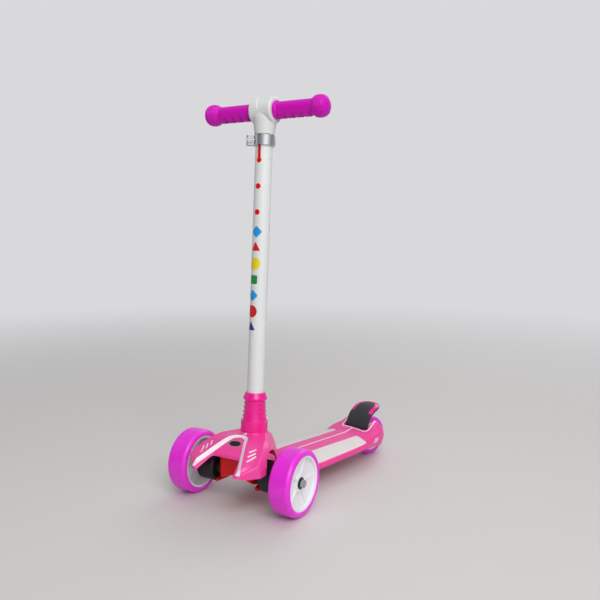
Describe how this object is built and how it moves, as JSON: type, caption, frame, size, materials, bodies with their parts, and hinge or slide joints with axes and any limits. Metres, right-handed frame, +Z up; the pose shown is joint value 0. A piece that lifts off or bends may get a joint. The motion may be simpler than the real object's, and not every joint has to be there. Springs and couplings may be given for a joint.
{
  "type": "kick scooter",
  "caption": "Child's kick scooter: paired front wheels under a steered hood, telescopic bar with quick-release clamp, crowned deck and sprung rear foot brake.",
  "frame": {"origin": "on the floor, at the upright steering axis", "axes": "+Z up, +Y along the deck to the rear, +X to the rider's left"},
  "size_m": [0.2957, 0.5071, 0.745],
  "materials": {
    "deck_pink": "satin",
    "hood_pink": "glossy",
    "collar_pink": "glossy",
    "wheel_tyre": "glossy",
    "wheel_rim": "glossy",
    "steel": "satin",
    "bearing": "satin",
    "bush": "matt",
    "core_red": "glossy",
    "housing_black": "matt",
    "tube_white": "white powder coat",
    "guide_red": "glossy",
    "inner_tube": "satin",
    "clamp_chrome": "polished",
    "head_white": "satin",
    "grip_magenta": "satin",
    "pedal_black": "matt",
    "pedal_inlay": "satin",
    "pad_black": "matt",
    "badge_dark": "glossy",
    "badge_bright": "polished",
    "plug": "matt"
  },
  "bodies": {
    "deck": {"deck": "deck_pink", "steering_bushes": "bush", "rear_axle": "steel", "rear_axle_nuts": "steel", "rear_axle_spacers": "steel", "brake_pin": "steel"},
    "rear_wheel": {"rear_tyre": "wheel_tyre", "rear_rim": "wheel_rim", "rear_bearings": "bearing", "rear_bearing_spacer": "steel"},
    "brake": {"brake_pedal": "pedal_black", "brake_inlay": "pedal_inlay", "brake_pad": "pad_black", "brake_spring": "steel"},
    "truck": {"front_shell": "hood_pink", "badge_frame": "badge_bright", "badge_face": "badge_dark", "hood_screws": "steel", "truck_core": "core_red", "kingpin": "steel", "kingpin_nut": "steel", "kingpin_washer": "steel", "column_bolt": "steel", "column_nut": "steel", "front_axle": "steel", "front_axle_nuts": "steel", "front_axle_washers": "steel", "collar_ring": "collar_pink", "collar_sleeve": "collar_pink", "collar_cap": "collar_pink", "lower_tube": "tube_white", "guide_sleeve": "guide_red", "clamp_collar": "clamp_chrome", "clamp_bolt": "steel", "clamp_barrel": "steel", "axle_housing_left": "housing_black", "axle_housing_right": "housing_black"},
    "lever": {"clamp_lever": "clamp_chrome"},
    "handlebar": {"upper_tube": "inner_tube", "tube_plug": "plug", "handlebar_head": "head_white", "head_bolt": "steel", "cross_tube": "inner_tube", "grip_left": "grip_magenta", "grip_right": "grip_magenta"},
    "front_left_wheel": {"front_left_tyre": "wheel_tyre", "front_left_rim": "wheel_rim", "front_left_bearings": "bearing", "front_left_bearing_spacer": "steel"},
    "front_right_wheel": {"front_right_tyre": "wheel_tyre", "front_right_rim": "wheel_rim", "front_right_bearings": "bearing", "front_right_bearing_spacer": "steel"}
  },
  "joints": [
    {"name": "steer", "type": "hinge", "parent": "deck", "child": "truck", "pos_m": [0, 0, 0.05], "axis": [0, 0, 1], "range_deg": [-44.5, 11.5]},
    {"name": "front_left_spin", "type": "hinge", "parent": "truck", "child": "front_left_wheel", "pos_m": [0.11659, -0.0003, 0.06], "axis": [0.9588, 0.284, 0], "continuous": true},
    {"name": "front_right_spin", "type": "hinge", "parent": "truck", "child": "front_right_wheel", "pos_m": [-0.09761, -0.06375, 0.06], "axis": [0.9588, 0.284, 0], "continuous": true},
    {"name": "rear_spin", "type": "hinge", "parent": "deck", "child": "rear_wheel", "pos_m": [0, 0.336, 0.042], "axis": [1, 0, 0], "continuous": true},
    {"name": "brake_press", "type": "hinge", "parent": "deck", "child": "brake", "pos_m": [0, 0.2915, 0.0575], "axis": [-1, 0, 0], "range_deg": [0, 6], "stiffness_Nm_per_rad": 1.5, "springref_deg": -14.32},
    {"name": "handlebar_height", "type": "slide", "parent": "truck", "child": "handlebar", "axis": [-0.0221, 0.0747, 0.997], "range_m": [0, 0.1425]},
    {"name": "clamp_lever", "type": "hinge", "parent": "truck", "child": "lever", "pos_m": [-0.04221, 0.03651, 0.6662], "axis": [-0.0221, 0.0747, 0.997], "range_deg": [0, 90]}
  ]
}
